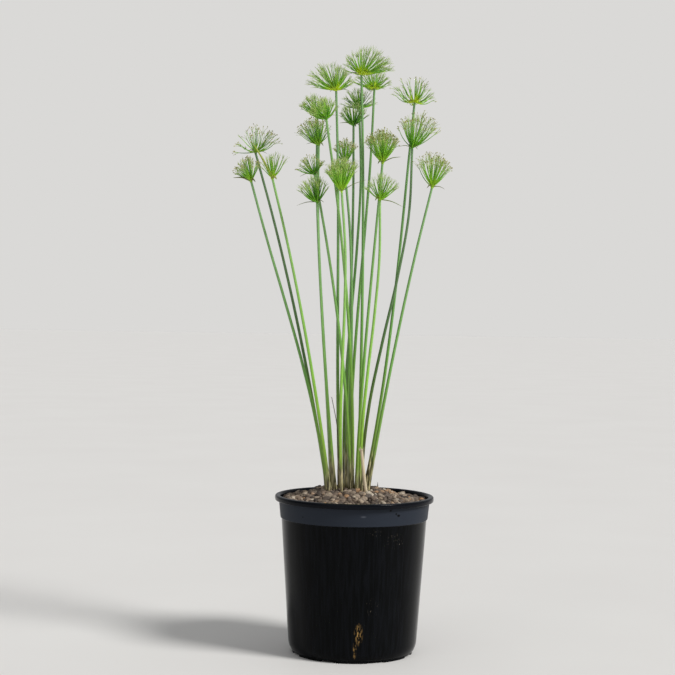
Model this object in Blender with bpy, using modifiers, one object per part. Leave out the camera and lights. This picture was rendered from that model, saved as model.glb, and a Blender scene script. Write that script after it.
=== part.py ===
"""Dwarf papyrus in a round black nursery pot.

Units are metres and +Z is up. The origin is the centre of the pot's flat base.
+X is the viewer's right and -Y is the side of the pot that faces the viewer.
The culms (stems) stand in one clump, run down through the gravel to the soil
and each carry one umbel, a tuft of rays with a few leafy bracts under it.
"""
import math
import random
from collections import namedtuple

import bmesh
import bpy
import numpy as np
from mathutils import Matrix, Vector, geometry

MM = 0.001
GAP = 0.3 * MM
UP = Vector((0.0, 0.0, 1.0))

# Pot, outer sizes
POT_HEIGHT = 197 * MM
LIP_RADIUS = 100 * MM
LIP_DEPTH = 6.8 * MM
LIP_FLAT_WIDTH = 5.2 * MM
LIP_ROUNDING = 1.8 * MM
COLLAR_HEIGHT = 21.5 * MM
COLLAR_TOP_RADIUS = 94.6 * MM
COLLAR_FOOT_RADIUS = 92.6 * MM
BODY_TOP_RADIUS = 91.3 * MM
BODY_FOOT_RADIUS = 80.6 * MM
CORNER_HEIGHT = 11 * MM
FOOT_RADIUS = 76 * MM
FOOT_HEIGHT = 3.4 * MM
STEP_HEIGHT = 1 * MM
WALL = 1.8 * MM
BASE_THICKNESS = 4.6 * MM
POT_STEPS = 40

# Drainage in the base: a ring channel, eight round holes and eight notches in the foot
CHANNEL_INNER_RADIUS = 57 * MM
CHANNEL_OUTER_RADIUS = 70 * MM
CHANNEL_DEPTH = 2.6 * MM
DRAIN_COUNT = 8
DRAIN_HOLE_RADIUS = 4 * MM
DRAIN_NOTCH_WIDTH = 22 * MM
DRAIN_HOLE_SIDES = 8
OVERCUT = 1.5 * MM

# Soil, and gravel whose larger stones stand up as lumps
SOIL_TOP = 185 * MM
SOIL_FOOT_RADIUS = 71 * MM
SOIL_STEPS = 24
GRAVEL_EDGE = 191.5 * MM
GRAVEL_MOUND = 12.5 * MM
GRAVEL_MOUND_RADIUS = 60 * MM
GRAVEL_MOUND_CENTRE = Vector((-5 * MM, 2 * MM))
GRAVEL_STEPS = 28
STONE_SPACING = 18 * MM
STONE_HEIGHT = 4 * MM
STONE_SCATTER = 1.6 * MM
STONE_SEED = 5

# Culms and their leaf sheaths
CULM_FOOT_RADIUS = 2.2 * MM
CULM_TIP_RADIUS = 1.45 * MM
CULM_POINTS = 8
CULM_FOOT_HEIGHT = SOIL_TOP + GAP + 0.2 * MM
SOCKET_CLEARANCE = 1.2 * GAP
SHEATH_THICKNESS = 0.6 * MM
SHEATH_SHARE = 0.09

# Umbels: a slim tuft spreads its rays little, a flat one widely (half width over height)
HUB_RADIUS = 3.4 * MM
HUB_CUT = 1.7 * MM
RAY_COUNT = 20
RAY_HALF_WIDTH = 1.2 * MM
RAY_TIP_SHARE = 0.5
BRACT_TIP_SHARE = 0.35
BRACT_ARCH = 2 * MM
BRACT_FORWARD = 3 * MM
SHORT_BRACT_SHARE = 0.5
SHORT_BRACT_DROOP = 1 * MM
SHORT_BRACT_SWING = 0.35
SLIM_TUFT = 0.5
FLAT_TUFT = 0.9
NARROWEST_SPREAD = 50
WIDEST_SPREAD = 85
GOLDEN_ANGLE = math.radians(137.508)
TURN_STEPS = 36
CLEARANCE = 0.5 * MM

# One row for each culm, in millimetres: where it leaves the soil, where its tip is,
# how far it bows sideways low and high on its length, its tuft (half width, height,
# sideways lean at the top) and the run and rise of its longest bract.
Culm = namedtuple("Culm", "foot tip bow tuft bract")
CULMS = {
    "01": Culm((5, 8), (1, 8, 726), (1, 3), (34, 37, 6), (-17, -2)),
    "02": Culm((-17, -4), (-30, -29, 700), (-3, 2), (31, 36, -9), (19, -3)),
    "03": Culm((-6, 14), (18, 51, 715), (-6, 2), (27, 26, -3), (14, -3)),
    "04": Culm((9, 3), (69, 23, 694), (7, 2), (31, 33, 0), (-15, -2)),
    "05": Culm((-29, 16), (-55, 52, 681), (1, -5), (20, 26, -5), (-14, 1)),
    "06": Culm((-3, -2), (-41, -46, 662), (7, 6), (22, 28, -6), (12, 4)),
    "07": Culm((-10, 20), (-1, 62, 691), (-9, 8), (25, 27, -2), (-16, -2)),
    "08": Culm((-11, 10), (-8, 17, 662), (-1, 2), (21, 31, 0), (-18, 2)),
    "09": Culm((-28, 8), (-52, 26, 638), (1, -5), (24, 36, -6), (-16, 0)),
    "10": Culm((-31, -2), (-131, 6, 626), (4, 5), (31, 34, -6), (16, -3)),
    "11": Culm((-33, -12), (-134, -20, 587), (10, 1), (20, 31, -8), (-22, 3)),
    "12": Culm((-28, -19), (-107, -28, 590), (3, 4), (20, 34, 0), (-25, 43)),
    "13": Culm((-4, -12), (-55, -28, 596), (6, 5), (19, 24, -8), (-18, -4)),
    "14": Culm((-22, -10), (-51, -42, 560), (-2, -2), (22, 34, -5), (-25, -5)),
    "15": Culm((-13, -22), (-21, -50, 573), (-6, 6), (23, 44, 0), (30, 14)),
    "16": Culm((-6, 4), (-19, -7, 611), (0, 7), (15, 31, 0), (-12, -2)),
    "17": Culm((2, -9), (29, -7, 613), (-3, -1), (24, 42, 1), (23, 7)),
    "18": Culm((9, -14), (26, -46, 564), (-7, 6), (24, 34, 3), (28, -9)),
    "19": Culm((11, 19), (66, -1, 633), (-14, 12), (29, 45, 9), (-18, 0)),
    "20": Culm((14, -4), (91, -12, 583), (-2, -3), (26, 45, 5), (16, -3)),
}

# The dry stub and the dry leaf: foot, bend, tip and the radii at both ends, in millimetres
STUB = ((17, -21), (12, -25, 221), (8, -28, 257), (2.0, 1.5))
DRY_LEAF = ((-20, -17), (-23, -19, 286), (-30, -22, 321), (0.9, 0.5))

MATERIALS = {
    "pot": ((0.018, 0.019, 0.022), 0.34),
    "soil": ((0.040, 0.026, 0.018), 0.95),
    "gravel": ((0.150, 0.110, 0.080), 0.85),
    "culm": ((0.080, 0.210, 0.045), 0.50),
    "umbel": ((0.130, 0.290, 0.060), 0.60),
    "dry_stub": ((0.560, 0.430, 0.250), 0.75),
    "dry_leaf": ((0.070, 0.050, 0.040), 0.80),
}


def clear_scene():
    for obj in list(bpy.data.objects):
        bpy.data.objects.remove(obj, do_unlink=True)


def new_collection(name):
    collection = bpy.data.collections.new(name)
    bpy.context.scene.collection.children.link(collection)
    return collection


def material(name):
    """Principled material of one piece, made once and shared by its repeats."""
    found = bpy.data.materials.get(name)
    if found:
        return found
    colour, roughness = MATERIALS[name]
    made = bpy.data.materials.new(name)
    made.use_nodes = True
    shader = made.node_tree.nodes["Principled BSDF"]
    shader.inputs["Base Color"].default_value = (*colour, 1.0)
    shader.inputs["Roughness"].default_value = roughness
    shader.inputs["Metallic"].default_value = 0.0
    return made


def add_object(name, data, collection, slot=None):
    obj = bpy.data.objects.new(name, data)
    collection.objects.link(obj)
    if slot:
        data.materials.append(material(slot))
    return obj


def make_cutter(obj):
    obj.hide_render = True
    obj.display_type = "WIRE"
    return obj


def turned(name, profile, steps, collection, slot=None):
    """Solid of revolution from (radius, height) points that run down the outer side."""
    mesh = bpy.data.meshes.new(name)
    bm = bmesh.new()
    points = [bm.verts.new((radius, 0.0, height)) for radius, height in profile]
    for upper, lower in zip(points, points[1:]):
        bm.edges.new((upper, lower))
    bm.to_mesh(mesh)
    bm.free()
    obj = add_object(name, mesh, collection, slot)
    screw = obj.modifiers.new("turn", "SCREW")
    screw.steps = screw.render_steps = steps
    screw.use_merge_vertices = True
    screw.merge_threshold = 0.01 * MM
    screw.use_smooth_shade = True
    return obj


def cut(obj, cutter):
    boolean = obj.modifiers.new("cut " + cutter.name, "BOOLEAN")
    boolean.operation = "DIFFERENCE"
    boolean.solver = "EXACT"
    boolean.object = cutter


def join_bodies(name, meshes, collection):
    """One object from several closed meshes that do not touch each other."""
    bm = bmesh.new()
    for mesh, place in meshes:
        before = len(bm.verts)
        bm.from_mesh(mesh)
        bm.verts.ensure_lookup_table()
        bmesh.ops.transform(bm, matrix=place, verts=bm.verts[before:])
    joined = bpy.data.meshes.new(name)
    bm.to_mesh(joined)
    bm.free()
    return add_object(name, joined, collection)


# Pot

def inside_profile():
    """Inner face from the middle of the base up to the lip."""
    collar_foot = POT_HEIGHT - LIP_DEPTH - COLLAR_HEIGHT
    return [
        (0.0, BASE_THICKNESS),
        (FOOT_RADIUS - 2 * WALL, BASE_THICKNESS),
        (BODY_FOOT_RADIUS - WALL, CORNER_HEIGHT + STEP_HEIGHT),
        (BODY_TOP_RADIUS - WALL, collar_foot - STEP_HEIGHT),
        (COLLAR_FOOT_RADIUS - WALL, collar_foot + STEP_HEIGHT),
        (COLLAR_TOP_RADIUS - WALL, POT_HEIGHT - 0.5 * LIP_ROUNDING),
    ]


def inner_radius(height):
    radii, heights = zip(*inside_profile()[1:])
    return float(np.interp(height, heights, radii))


def pot_profile():
    lip_foot = POT_HEIGHT - LIP_DEPTH
    collar_foot = lip_foot - COLLAR_HEIGHT
    lip = [
        (LIP_RADIUS - LIP_FLAT_WIDTH, POT_HEIGHT),
        (LIP_RADIUS - LIP_ROUNDING, POT_HEIGHT - 0.2 * LIP_ROUNDING),
        (LIP_RADIUS, POT_HEIGHT - 0.5 * LIP_DEPTH),
        (LIP_RADIUS - 0.5 * LIP_ROUNDING, lip_foot + 0.2 * LIP_ROUNDING),
        (COLLAR_TOP_RADIUS, lip_foot),
    ]
    outside = [
        (COLLAR_FOOT_RADIUS, collar_foot),
        (BODY_TOP_RADIUS, collar_foot - STEP_HEIGHT),
        (BODY_FOOT_RADIUS, CORNER_HEIGHT),
        (FOOT_RADIUS + WALL, FOOT_HEIGHT + 0.5 * STEP_HEIGHT),
        (FOOT_RADIUS, FOOT_HEIGHT),
    ]
    base = [
        (FOOT_RADIUS, 0.0),
        (CHANNEL_OUTER_RADIUS, 0.0),
        (CHANNEL_OUTER_RADIUS, CHANNEL_DEPTH),
        (CHANNEL_INNER_RADIUS, CHANNEL_DEPTH),
        (CHANNEL_INNER_RADIUS, 0.0),
        (0.0, 0.0),
    ]
    return inside_profile() + lip + outside + base


def drain_cutters(collection):
    """Round holes through the channel's floor, and notches through the foot outside them."""
    middle = 0.5 * (CHANNEL_INNER_RADIUS + CHANNEL_OUTER_RADIUS)
    hole = bpy.data.meshes.new("drain hole")
    notch = bpy.data.meshes.new("drain notch")
    bm = bmesh.new()
    bmesh.ops.create_cone(bm, cap_ends=True, segments=DRAIN_HOLE_SIDES, radius1=DRAIN_HOLE_RADIUS,
                          radius2=DRAIN_HOLE_RADIUS, depth=4 * BASE_THICKNESS)
    bm.to_mesh(hole)
    bm.free()
    bm = bmesh.new()
    bmesh.ops.create_cube(bm, size=1.0)
    depth = FOOT_RADIUS - CHANNEL_OUTER_RADIUS + 2 * OVERCUT
    bmesh.ops.scale(bm, vec=(depth, DRAIN_NOTCH_WIDTH, 2 * CHANNEL_DEPTH), verts=bm.verts)
    bm.to_mesh(notch)
    bm.free()
    holes, notches = [], []
    for index in range(DRAIN_COUNT):
        spin = Matrix.Rotation(math.tau * (index + 0.5) / DRAIN_COUNT, 4, "Z")
        holes.append((hole, spin @ Matrix.Translation((middle, 0.0, 0.0))))
        out = 0.5 * (FOOT_RADIUS + CHANNEL_OUTER_RADIUS + GAP)
        notches.append((notch, spin @ Matrix.Translation((out, 0.0, -GAP))))
    return [make_cutter(join_bodies(name, bodies, collection))
            for name, bodies in (("drain holes", holes), ("drain notches", notches))]


def build_pot(parts, cutters):
    pot = turned("pot", pot_profile(), POT_STEPS, parts, "pot")
    for cutter in drain_cutters(cutters):
        cut(pot, cutter)
    return pot


# Soil and gravel

def inside_pot(height, clearance=GAP):
    """Largest radius of a piece that lies inside the pot's flat-sided inner face."""
    return inner_radius(height) * math.cos(math.pi / POT_STEPS) - clearance


def build_soil(parts):
    """Fills the pot up to the gravel, following its inner face down to the base."""
    floor = BASE_THICKNESS + GAP
    wall = [(inside_pot(height), height) for _, height in inside_profile()[2:5]]
    base = [(0.0, floor), (SOIL_FOOT_RADIUS, floor)]
    profile = base + wall + [(inside_pot(SOIL_TOP), SOIL_TOP), (0.0, SOIL_TOP)]
    return turned("soil", profile[::-1], SOIL_STEPS, parts, "soil")


def gravel_points(edge):
    """Points of the gravel's top, and whether each is the top of a stone or the gap between.

    The rim comes first. Inside it, stones and gaps take turns like the squares of a
    chessboard, each pushed a little off its place.
    """
    rng = random.Random(STONE_SEED)
    points, raised = [], []
    for step in range(GRAVEL_STEPS):
        turn = math.tau * step / GRAVEL_STEPS
        points.append(Vector((edge * math.cos(turn), edge * math.sin(turn))))
        raised.append(step % 2 == 1)
    pitch = STONE_SPACING / math.sqrt(2)
    reach = math.ceil(edge / pitch)
    for row in range(-reach, reach + 1):
        for column in range(-reach, reach + 1):
            shift = Vector((rng.uniform(-1, 1), rng.uniform(-1, 1))) * STONE_SCATTER
            place = Vector((column, row)) * pitch + shift
            if place.length < edge - 0.55 * pitch:
                points.append(place)
                raised.append((row + column) % 2 == 0)
    return points, raised


def gravel_height(place, is_stone):
    """Top of the gravel: a low, flat mound round the clump, and stones that stand above the gaps."""
    reach = (place - GRAVEL_MOUND_CENTRE).length / GRAVEL_MOUND_RADIUS
    level = GRAVEL_EDGE + GRAVEL_MOUND * math.exp(-reach ** 4)
    return level + (0.5 if is_stone else -0.5) * STONE_HEIGHT


def gravel_bed():
    """Closed mesh of the gravel before the culms go through it."""
    floor = SOIL_TOP + GAP
    edge = inside_pot(GRAVEL_EDGE - STONE_HEIGHT)
    points, raised = gravel_points(edge)
    flat, _, faces, sources, _, _ = geometry.delaunay_2d_cdt(points, [], [], 0, 0.01 * MM)
    bm = bmesh.new()
    top = []
    for place, source in zip(flat, sources):
        top.append(bm.verts.new((place.x, place.y, gravel_height(place, raised[source[0]]))))
    for face in faces:
        bm.faces.new([top[index] for index in face])
    rim = [edge for edge in bm.edges if edge.is_boundary]
    wall = bmesh.ops.extrude_edge_only(bm, edges=rim)["geom"]
    low = [item for item in wall if isinstance(item, bmesh.types.BMVert)]
    shrink = inside_pot(floor) / edge
    for vert in low:
        vert.co = Vector((vert.co.x * shrink, vert.co.y * shrink, floor))
    bmesh.ops.holes_fill(bm, edges=[edge for edge in bm.edges if edge.is_boundary], sides=0)
    bmesh.ops.recalc_face_normals(bm, faces=bm.faces)
    mesh = bpy.data.meshes.new("gravel")
    bm.to_mesh(mesh)
    bm.free()
    return mesh


def build_gravel(parts, cutters):
    gravel = add_object("gravel", gravel_bed(), parts, "gravel")
    sockets = [tube("socket", path[:3], [radius + SOCKET_CLEARANCE for radius in radii[:3]], cutters)
               for path, radii in all_tubes()]
    places = [(mesh_of(socket, "socket"), Matrix.Identity(4)) for socket in sockets]
    cut(gravel, make_cutter(join_bodies("culm sockets", places, cutters)))
    return gravel


# Tubes: culms, stub and dry leaf

def mesh_of(obj, name):
    """Mesh of an evaluated object with its seams and caps welded; the object is removed."""
    depsgraph = bpy.context.evaluated_depsgraph_get()
    mesh = bpy.data.meshes.new_from_object(obj.evaluated_get(depsgraph))
    mesh.name = name
    bm = bmesh.new()
    bm.from_mesh(mesh)
    bmesh.ops.remove_doubles(bm, verts=bm.verts, dist=0.01 * MM)
    bm.to_mesh(mesh)
    bm.free()
    bpy.data.objects.remove(obj, do_unlink=True)
    return mesh


def tube(name, path, radii, collection, slot=None):
    """Curve with filled caps whose radius follows the list of radii."""
    curve = bpy.data.curves.new(name, "CURVE")
    curve.dimensions = "3D"
    curve.bevel_depth = 1.0
    curve.bevel_resolution = 1
    curve.use_fill_caps = True
    spline = curve.splines.new("POLY")
    spline.points.add(len(path) - 1)
    for point, place, radius in zip(spline.points, path, radii):
        point.co = (*place, 1.0)
        point.radius = radius
    spline.use_smooth = True
    return add_object(name, curve, collection, slot)


def bow_shares(share):
    """Weights of the low and the high bow at a share of the culm's length."""
    return 6.75 * share * (1 - share) ** 2, 6.75 * share ** 2 * (1 - share)


def culm_path(culm):
    """Points up the culm: close together in the sheath, then evenly spaced to the tip."""
    foot = Vector((culm.foot[0] * MM, culm.foot[1] * MM, CULM_FOOT_HEIGHT))
    tip = Vector(culm.tip) * MM
    shares = [0.0, 0.5 * SHEATH_SHARE, SHEATH_SHARE]
    upper = CULM_POINTS - len(shares)
    shares += [SHEATH_SHARE + (1 - SHEATH_SHARE) * (step + 1) / upper for step in range(upper)]
    path = []
    for share in shares:
        low, high = bow_shares(share)
        place = foot.lerp(tip, share)
        place.x += (culm.bow[0] * low + culm.bow[1] * high) * MM
        path.append(place)
    return path, shares


def culm_tube(culm):
    path, shares = culm_path(culm)
    radii = []
    for share in shares:
        radius = CULM_FOOT_RADIUS + (CULM_TIP_RADIUS - CULM_FOOT_RADIUS) * share
        if share < SHEATH_SHARE:
            radius += SHEATH_THICKNESS
        radii.append(radius)
    return path, radii


def bent_tube(foot, bend, tip, radii):
    """Two straight lengths, each in two steps, that taper from the soil to the tip."""
    start = Vector((foot[0] * MM, foot[1] * MM, CULM_FOOT_HEIGHT))
    bend, end = Vector(bend) * MM, Vector(tip) * MM
    path = [start, start.lerp(bend, 0.3), bend, end]
    widths = [MM * (radii[0] + (radii[1] - radii[0]) * step / 3) for step in range(4)]
    return path, widths


def all_tubes():
    tubes = [culm_tube(culm) for culm in CULMS.values()]
    tubes.append(bent_tube(*STUB))
    tubes.append(bent_tube(*DRY_LEAF))
    return tubes


def build_culms(parts):
    for number, culm in CULMS.items():
        tube("culm_" + number, *culm_tube(culm), parts, "culm")
    tube("dry_stub", *bent_tube(*STUB), parts, "dry_stub")
    tube("dry_leaf", *bent_tube(*DRY_LEAF), parts, "dry_leaf")


# Umbels

def head_frame(culm):
    """Place and turn of the hub: it sits on the culm's tip and follows its direction."""
    path, _ = culm_path(culm)
    direction = (path[-1] - path[-2]).normalized()
    centre = path[-1] + direction * (HUB_CUT + GAP)
    return Matrix.Translation(centre) @ UP.rotation_difference(direction).to_matrix().to_4x4()


def ray_tips(culm, turn):
    """Tips of the rays, spread evenly over a dome that leans with the head."""
    half_width, height, lean = (size * MM for size in culm.tuft)
    frame = head_frame(culm)
    shape = half_width / height
    spread = math.radians(np.interp(shape, (SLIM_TUFT, FLAT_TUFT), (NARROWEST_SPREAD, WIDEST_SPREAD)))
    own_lean = (frame.to_3x3() @ UP).x * height
    tips = []
    for index in range(RAY_COUNT):
        polar = math.acos(1 - (1 - math.cos(spread)) * (index + 0.5) / RAY_COUNT)
        azimuth = index * GOLDEN_ANGLE + turn
        out = half_width * math.sin(polar) / math.sin(spread)
        reach = Vector((out * math.cos(azimuth), out * math.sin(azimuth), height * math.cos(polar)))
        tips.append(frame @ reach + Vector((lean - own_lean, 0.0, 0.0)))
    return tips


def bract_paths(culm, turn):
    """Middle and tip of each bract: the longest lies sideways, two shorter ones stand off it."""
    centre = head_frame(culm).translation
    run, rise = culm.bract[0] * MM, culm.bract[1] * MM
    paths = [(centre + Vector((0.5 * run, -0.5 * BRACT_FORWARD, 0.5 * rise + BRACT_ARCH)),
              centre + Vector((run, -BRACT_FORWARD, rise)))]
    for side in (1, 2):
        swing = SHORT_BRACT_SWING * math.sin(turn)
        azimuth = (math.pi if run < 0 else 0.0) + math.tau * side / 3 + swing
        reach = SHORT_BRACT_SHARE * culm.tuft[0] * MM
        flat = Vector((reach * math.cos(azimuth), reach * math.sin(azimuth), 0.0))
        paths.append((centre + 0.5 * flat + UP * BRACT_ARCH, centre + flat - UP * SHORT_BRACT_DROOP))
    return paths


def limbs(culm, turn):
    """Every ray and bract as its places outward from the hub and its width at each of them."""
    rays = [((tip,), (RAY_TIP_SHARE,)) for tip in ray_tips(culm, turn)]
    bracts = [(path, (1.0, BRACT_TIP_SHARE)) for path in bract_paths(culm, turn)]
    return rays + bracts


def capsules(points, radii):
    """Start, end and radius of each straight length of a bent round bar."""
    starts = np.array([tuple(point) for point in points[:-1]])
    ends = np.array([tuple(point) for point in points[1:]])
    return starts, ends, np.maximum(radii[:-1], radii[1:])


def stack(sets):
    return tuple(np.concatenate([group[part] for group in sets]) for part in range(3))


def head_capsules(culm, turn):
    centre = head_frame(culm).translation
    sets = []
    for places, _ in limbs(culm, turn):
        sets.append(capsules([centre, *places], [RAY_HALF_WIDTH] * (len(places) + 1)))
    return stack(sets)


def smallest_gap(first, second):
    """Smallest distance between two sets of capsules, less their radii."""
    along_a = (first[1] - first[0])[:, None, :]
    along_b = (second[1] - second[0])[None, :, :]
    between = first[0][:, None, :] - second[0][None, :, :]
    aa, ab, bb = ((p * q).sum(-1) for p, q in ((along_a, along_a), (along_a, along_b), (along_b, along_b)))
    ad, bd = (along_a * between).sum(-1), (along_b * between).sum(-1)
    spread = aa * bb - ab * ab
    share_a = np.clip(np.where(spread > 1e-15, (ab * bd - bb * ad) / np.maximum(spread, 1e-15), 0), 0, 1)
    share_b = np.clip((ab * share_a + bd) / bb, 0, 1)
    share_a = np.clip((ab * share_b - ad) / aa, 0, 1)
    apart = between + share_a[..., None] * along_a - share_b[..., None] * along_b
    return (np.linalg.norm(apart, axis=-1) - first[2][:, None] - second[2][None, :]).min()


def clear_turns():
    """Turn each head about its culm until its rays miss all the culms and the heads before it."""
    bars = {number: capsules(*culm_tube(culm)) for number, culm in CULMS.items()}
    heads, turns = {}, {}
    for number, culm in CULMS.items():
        others = stack([bar for other, bar in bars.items() if other != number] + list(heads.values()))
        best = None
        for step in range(TURN_STEPS):
            turn = math.tau * step / TURN_STEPS
            gap = smallest_gap(head_capsules(culm, turn), others)
            if best is None or gap > best[0]:
                best = (gap, turn)
            if gap > CLEARANCE:
                break
        turns[number] = best[1]
        heads[number] = head_capsules(culm, best[1])
    return turns


def hub_dome(bm):
    """Ball with its underside cut flat where it sits on the culm."""
    bmesh.ops.create_icosphere(bm, subdivisions=2, radius=HUB_RADIUS)
    low = [vert for vert in bm.verts if vert.co.z < -1.2 * HUB_CUT]
    bmesh.ops.delete(bm, geom=low, context="VERTS")
    rim = [edge for edge in bm.edges if edge.is_boundary]
    bmesh.ops.holes_fill(bm, edges=rim, sides=0)
    for vert in {vert for edge in rim for vert in edge.verts}:
        vert.co.z = -HUB_CUT


def matched_faces(bm, centre, targets):
    """One hub face for each target, the best matched pairs first, so that no two limbs cross."""
    faces = [face for face in bm.faces if len(face.verts) == 3]
    facing = [(face.calc_center_median() - centre).normalized() for face in faces]
    aims = [(target - centre).normalized() for target in targets]
    pairs = sorted(((-a.dot(b), i, j) for i, a in enumerate(aims) for j, b in enumerate(facing)))
    chosen = {}
    taken = set()
    for _, i, j in pairs:
        if i not in chosen and j not in taken:
            chosen[i] = faces[j]
            taken.add(j)
    return [chosen[i] for i in range(len(targets))]


def grow(bm, face, places, shares):
    """Pull one face of the hub out through the places, narrowed to a share of its size at each."""
    start = face.calc_center_median()
    facing = face.normal.copy()
    shape = [vert.co - start for vert in face.verts]
    previous = start
    for place, share in zip(places, shares):
        face = bmesh.ops.extrude_discrete_faces(bm, faces=[face])["faces"][0]
        turn = facing.rotation_difference((place - previous).normalized())
        for vert, offset in zip(face.verts, shape):
            vert.co = place + (turn @ offset) * share
        previous = place


def build_umbel(number, culm, turn, parts):
    frame = head_frame(culm)
    bm = bmesh.new()
    hub_dome(bm)
    bmesh.ops.transform(bm, matrix=frame, verts=bm.verts)
    bm.normal_update()
    grown = limbs(culm, turn)
    faces = matched_faces(bm, frame.translation, [places[0] for places, _ in grown])
    for face, (places, shares) in zip(faces, grown):
        grow(bm, face, places, shares)
    bmesh.ops.recalc_face_normals(bm, faces=bm.faces)
    mesh = bpy.data.meshes.new("umbel_" + number)
    bm.to_mesh(mesh)
    bm.free()
    return add_object("umbel_" + number, mesh, parts, "umbel")


def main():
    clear_scene()
    parts = new_collection("potted dwarf papyrus")
    cutters = new_collection("cutters")
    build_pot(parts, cutters)
    build_soil(parts)
    build_gravel(parts, cutters)
    build_culms(parts)
    turns = clear_turns()
    for number, culm in CULMS.items():
        build_umbel(number, culm, turns[number], parts)


main()
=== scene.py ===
# %% [markdown]
# # Dwarf papyrus in a black nursery pot
#
# The plain solids of this plant come packed and are never moved. This lesson puts the real
# surface round each of them: a glossy moulded pot, loose gravel, waxy green stems and, on every
# stem, a tuft of hair-fine rays. Whatever repeats is grown by Geometry Nodes along guide lines,
# and the guide lines are read from the solids, so a piece can't drift away from its place.

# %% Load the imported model
import math

import bmesh
import bpy
import numpy as np
from mathutils import Matrix, Vector
from mathutils.bvhtree import BVHTree


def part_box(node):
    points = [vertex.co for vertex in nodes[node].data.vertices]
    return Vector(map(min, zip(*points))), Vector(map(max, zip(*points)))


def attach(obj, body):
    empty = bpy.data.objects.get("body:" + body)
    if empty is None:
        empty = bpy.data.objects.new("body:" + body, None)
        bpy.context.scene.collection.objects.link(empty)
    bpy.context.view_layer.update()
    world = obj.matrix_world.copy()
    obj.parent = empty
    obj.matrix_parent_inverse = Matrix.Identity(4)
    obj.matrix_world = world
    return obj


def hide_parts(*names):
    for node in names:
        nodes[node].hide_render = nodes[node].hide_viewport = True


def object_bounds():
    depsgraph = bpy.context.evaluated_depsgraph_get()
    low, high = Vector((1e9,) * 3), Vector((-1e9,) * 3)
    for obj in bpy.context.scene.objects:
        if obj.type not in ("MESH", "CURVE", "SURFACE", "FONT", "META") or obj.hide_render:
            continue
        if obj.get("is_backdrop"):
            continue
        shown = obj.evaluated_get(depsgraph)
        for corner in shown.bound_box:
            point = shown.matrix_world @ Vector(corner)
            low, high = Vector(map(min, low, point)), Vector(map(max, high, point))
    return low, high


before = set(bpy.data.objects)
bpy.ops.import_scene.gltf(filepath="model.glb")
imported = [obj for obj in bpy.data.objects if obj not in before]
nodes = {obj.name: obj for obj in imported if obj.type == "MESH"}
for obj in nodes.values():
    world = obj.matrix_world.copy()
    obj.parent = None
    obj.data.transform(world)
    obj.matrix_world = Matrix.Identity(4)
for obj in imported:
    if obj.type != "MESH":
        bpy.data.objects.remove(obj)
cad_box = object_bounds()

MM = 0.001
WELD = 0.01 * MM
culm_names = sorted(name for name in nodes if name.startswith("culm_"))
print("stems:", len(culm_names), "box in mm:", [round(v / MM) for corner in cad_box for v in corner])

# %% [markdown]
# ## Small tools
#
# Colours are written as the sRGB hex codes that one reads off a photograph, and one function
# turns them to the linear values that shaders want. A second function adds a node of any kind,
# with its settings and its links, to a shader or a geometry tree. Two more start a material and
# put an object into the scene.

# %% Colour, node and object helpers


def linear(code):
    """Linear RGBA of an sRGB hex code."""
    shares = [int(code[place:place + 2], 16) / 255 for place in (0, 2, 4)]
    return (*[s / 12.92 if s <= 0.04045 else ((s + 0.055) / 1.055) ** 2.4 for s in shares], 1.0)


def add(tree, kind, inputs=None, **settings):
    """Add a node; an input takes a value, an output to link from, or a node for its first one."""
    node = tree.nodes.new(kind)
    for name, value in settings.items():
        setattr(node, name, value)
    for key, value in (inputs or {}).items():
        if isinstance(value, bpy.types.Node):
            value = value.outputs[0]
        if isinstance(value, bpy.types.NodeSocket):
            tree.links.new(value, node.inputs[key])
        else:
            node.inputs[key].default_value = value
    return node


def finish_of(name, roughness, ior=1.5, **constants):
    """New material with a Principled shader; returns it with its tree and shader."""
    made = bpy.data.materials.new(name)
    made.use_nodes = True
    shader = made.node_tree.nodes["Principled BSDF"]
    shader.inputs["Roughness"].default_value = roughness
    shader.inputs["IOR"].default_value = ior
    for socket, value in constants.items():
        shader.inputs[socket.replace("_", " ")].default_value = value
    return made, made.node_tree, shader


def in_scene(name, data):
    """New object that shows the given mesh, lamp or camera."""
    obj = bpy.data.objects.new(name, data)
    bpy.context.scene.collection.objects.link(obj)
    return obj


print("leaf green as linear light:", [round(value, 3) for value in linear("4F8A2C")])

# %% [markdown]
# ## Camera
#
# The picture was taken from just above the middle of the plant, about two metres away, with a
# short telephoto view. The camera leans a little, which shows in the pot's tilted rim, so it is
# rolled instead of being aimed by a constraint.

# %% Camera
IMAGE_SIDE = 675
FOCAL_PIXELS = 1552
SENSOR_WIDTH = 36.0
EYE = Vector((0.0, -1.953, 0.425))
PITCH_DOWN, YAW_LEFT, ROLL = (math.radians(angle) for angle in (0.882, 0.708, 0.85))

camera_data = bpy.data.cameras.new("studio camera")
camera_data.sensor_width = SENSOR_WIDTH
camera_data.lens = SENSOR_WIDTH * FOCAL_PIXELS / IMAGE_SIDE
camera = in_scene("studio camera", camera_data)
camera.matrix_world = (
    Matrix.Translation(EYE)
    @ Matrix.Rotation(YAW_LEFT, 4, "Z")
    @ Matrix.Rotation(math.pi / 2 - PITCH_DOWN, 4, "X")
    @ Matrix.Rotation(ROLL, 4, "Z")
)
bpy.context.scene.camera = camera
print("lens", round(camera_data.lens, 1), "mm at", round(EYE.length, 2), "m")

# %% [markdown]
# ## Floor and light
#
# A pale, matt floor and two soft lights keep the studio plain, the stronger one from the right.
# Sun lamps light the whole floor evenly, where area lamps would leave its far part dark. The room
# round the plant is brighter behind it than in front, which leaves the middle of the glossy pot
# dark and draws a light edge down both of its sides.

# %% Floor and studio light
FLOOR_SIDE = 60.0
FLOOR_CLOUDS = 3.0
ROOM_FRONT, ROOM_BACK, ROOM_TOP = 0.05, 0.42, 0.42
BACKDROP = "DAD9D7"

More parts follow.
